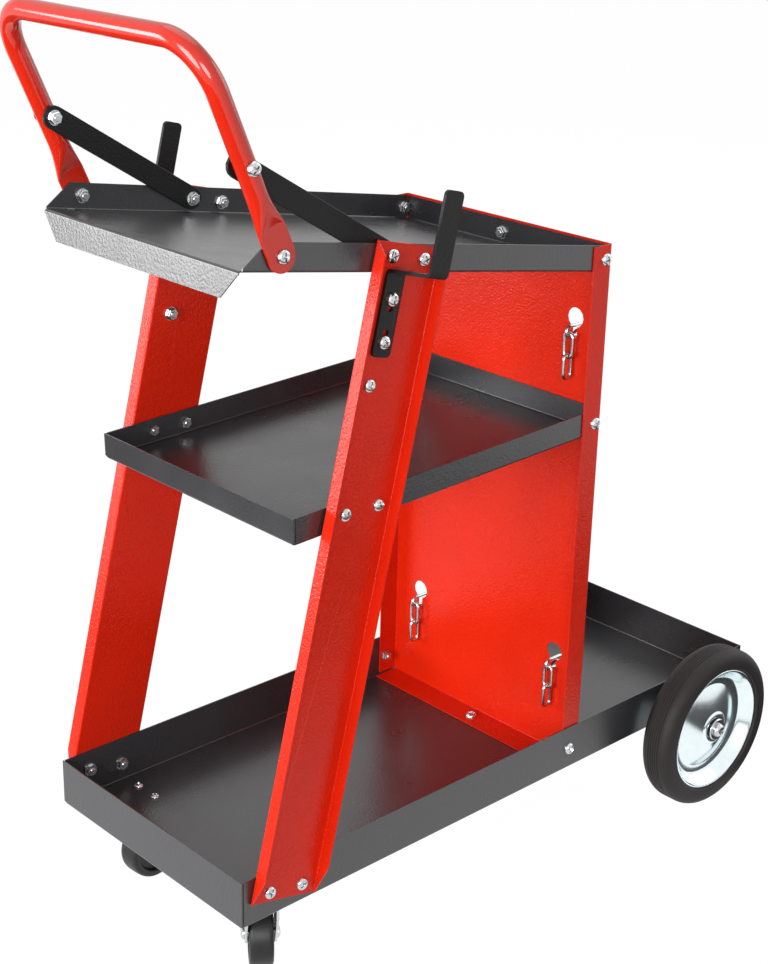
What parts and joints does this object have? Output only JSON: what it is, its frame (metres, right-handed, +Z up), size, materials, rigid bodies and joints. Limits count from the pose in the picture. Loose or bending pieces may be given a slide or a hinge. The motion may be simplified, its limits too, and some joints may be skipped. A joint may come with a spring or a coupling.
{
  "type": "welding cart",
  "caption": "Rolling welding cart with a long tray for a gas cylinder, tilted shelves, a chained back panel, slanted legs, a tube push handle, torch hooks, rear wheels and swivel casters.",
  "frame": {"origin": "on the floor, at the middle of the cart's box in plan", "axes": "+X towards the rear wheels and the cylinder bay, -X towards the push handle, +Y to the left of whoever pushes, +Z up"},
  "size_m": [0.7539, 0.381, 0.8702],
  "materials": {
    "charcoal_paint": "hammered semi-gloss powder coat",
    "red_paint": "glossy powder coat",
    "black_paint": "hammered semi-gloss paint",
    "zinc": "bright zinc plating",
    "tyre_rubber": "matte",
    "black_plastic": "satin"
  },
  "bodies": {
    "frame": {"bottom_tray": "charcoal_paint", "middle_shelf": "charcoal_paint", "top_shelf": "charcoal_paint", "back_panel": "red_paint", "handle_tube": "red_paint", "wheel_axle": "zinc", "upper_chain": "zinc", "lower_chain": "zinc", "right_leg": "red_paint", "right_handle_brace": "black_paint", "right_torch_hook": "black_paint", "right_handle_bolt": "zinc", "right_brace_bolt": "zinc", "right_leg_bolt": "zinc", "right_axle_collar": "zinc", "right_axle_washer": "zinc", "right_axle_screw": "zinc", "right_axle_strap": "zinc", "right_caster_plate": "zinc", "right_caster_race": "zinc", "right_caster_kingpin": "zinc", "left_leg": "red_paint", "left_handle_brace": "black_paint", "left_torch_hook": "black_paint", "left_handle_bolt": "zinc", "left_brace_bolt": "zinc", "left_leg_bolt": "zinc", "left_axle_collar": "zinc", "left_axle_washer": "zinc", "left_axle_screw": "zinc", "left_axle_strap": "zinc", "left_caster_plate": "zinc", "left_caster_race": "zinc", "left_caster_kingpin": "zinc"},
    "right_wheel": {"right_tyre": "tyre_rubber", "right_outer_disc": "zinc", "right_inner_disc": "zinc", "right_hub_bush": "black_plastic"},
    "right_caster": {"right_caster_fork": "zinc", "right_caster_axle": "zinc"},
    "right_caster_roller": {"right_caster_wheel": "black_plastic"},
    "left_wheel": {"left_tyre": "tyre_rubber", "left_outer_disc": "zinc", "left_inner_disc": "zinc", "left_hub_bush": "black_plastic"},
    "left_caster": {"left_caster_fork": "zinc", "left_caster_axle": "zinc"},
    "left_caster_roller": {"left_caster_wheel": "black_plastic"},
    "upper_right_first_link": {"upper_right_tail_link_1": "zinc"},
    "upper_right_last_link": {"upper_right_tail_link_2": "zinc"},
    "upper_left_first_link": {"upper_left_tail_link_1": "zinc"},
    "upper_left_last_link": {"upper_left_tail_link_2": "zinc"},
    "lower_right_first_link": {"lower_right_tail_link_1": "zinc"},
    "lower_right_last_link": {"lower_right_tail_link_2": "zinc"},
    "lower_left_first_link": {"lower_left_tail_link_1": "zinc"},
    "lower_left_last_link": {"lower_left_tail_link_2": "zinc"}
  },
  "joints": [
    {"name": "right_wheel_spin", "type": "hinge", "parent": "frame", "child": "right_wheel", "pos_m": [0.28255, -0.1675, 0.089], "axis": [0, 1, 0], "continuous": true},
    {"name": "right_caster_swivel", "type": "hinge", "parent": "frame", "child": "right_caster", "pos_m": [-0.28595, -0.103, 0.088], "axis": [0, 0, 1], "continuous": true},
    {"name": "right_caster_roll", "type": "hinge", "parent": "right_caster", "child": "right_caster_roller", "pos_m": [-0.27067, -0.08197, 0.03175], "axis": [-0.809, 0.5878, 0], "continuous": true},
    {"name": "left_wheel_spin", "type": "hinge", "parent": "frame", "child": "left_wheel", "pos_m": [0.28255, 0.1675, 0.089], "axis": [0, 1, 0], "continuous": true},
    {"name": "left_caster_swivel", "type": "hinge", "parent": "frame", "child": "left_caster", "pos_m": [-0.28595, 0.103, 0.088], "axis": [0, 0, 1], "continuous": true},
    {"name": "left_caster_roll", "type": "hinge", "parent": "left_caster", "child": "left_caster_roller", "pos_m": [-0.26001, 0.10481, 0.03175], "axis": [-0.0698, 0.9976, 0], "continuous": true},
    {"name": "upper_right_first_link_swing", "type": "hinge", "parent": "frame", "child": "upper_right_first_link", "pos_m": [0.09695, -0.099, 0.54639], "axis": [1, 0, 0], "range_deg": [-30, 30]},
    {"name": "upper_right_last_link_swing", "type": "hinge", "parent": "upper_right_first_link", "child": "upper_right_last_link", "pos_m": [0.09695, -0.099, 0.52582], "axis": [0, 1, 0], "range_deg": [0, 60]},
    {"name": "upper_left_first_link_swing", "type": "hinge", "parent": "frame", "child": "upper_left_first_link", "pos_m": [0.09695, 0.099, 0.54639], "axis": [1, 0, 0], "range_deg": [-30, 30]},
    {"name": "upper_left_last_link_swing", "type": "hinge", "parent": "upper_left_first_link", "child": "upper_left_last_link", "pos_m": [0.09695, 0.099, 0.52582], "axis": [0, 1, 0], "range_deg": [0, 60]},
    {"name": "lower_right_first_link_swing", "type": "hinge", "parent": "frame", "child": "lower_right_first_link", "pos_m": [0.09695, -0.099, 0.19069], "axis": [1, 0, 0], "range_deg": [-30, 30]},
    {"name": "lower_right_last_link_swing", "type": "hinge", "parent": "lower_right_first_link", "child": "lower_right_last_link", "pos_m": [0.09695, -0.099, 0.17012], "axis": [0, 1, 0], "range_deg": [0, 60]},
    {"name": "lower_left_first_link_swing", "type": "hinge", "parent": "frame", "child": "lower_left_first_link", "pos_m": [0.09695, 0.099, 0.19069], "axis": [1, 0, 0], "range_deg": [-30, 30]},
    {"name": "lower_left_last_link_swing", "type": "hinge", "parent": "lower_left_first_link", "child": "lower_left_last_link", "pos_m": [0.09695, 0.099, 0.17012], "axis": [0, 1, 0], "range_deg": [0, 60]}
  ]
}
